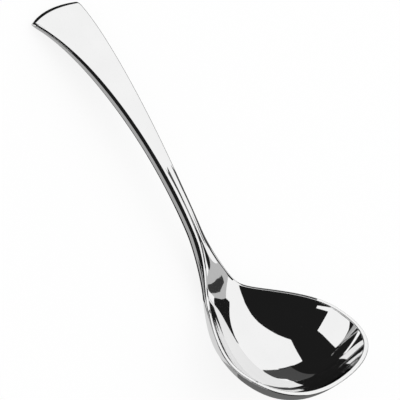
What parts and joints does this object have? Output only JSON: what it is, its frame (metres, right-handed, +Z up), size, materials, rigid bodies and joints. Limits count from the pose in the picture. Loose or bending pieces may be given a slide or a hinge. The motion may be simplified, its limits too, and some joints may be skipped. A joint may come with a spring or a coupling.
{
  "type": "soup ladle",
  "caption": "Polished steel serving ladle: a deep oval bowl with a flat rim on an arched, waisted flat handle that flares to a fishtail end.",
  "frame": {"origin": "on the table, under the middle of the ladle's bounding box, with the ladle lying at rest on its bowl and the two corners of its handle's end", "axes": "+X along the ladle from the handle's end to the tip of the bowl, +Z up out of the bowl's hollow, +Y across, with the ladle symmetric about the XZ plane"},
  "size_m": [0.2604, 0.09, 0.064],
  "materials": {
    "polished_steel": "mirror-polished stainless steel",
    "ground_weld": "weld ground flush and mirror-polished"
  },
  "bodies": {
    "root": {"bowl": "polished_steel", "neck_weld": "ground_weld", "handle": "polished_steel"}
  },
  "joints": []
}
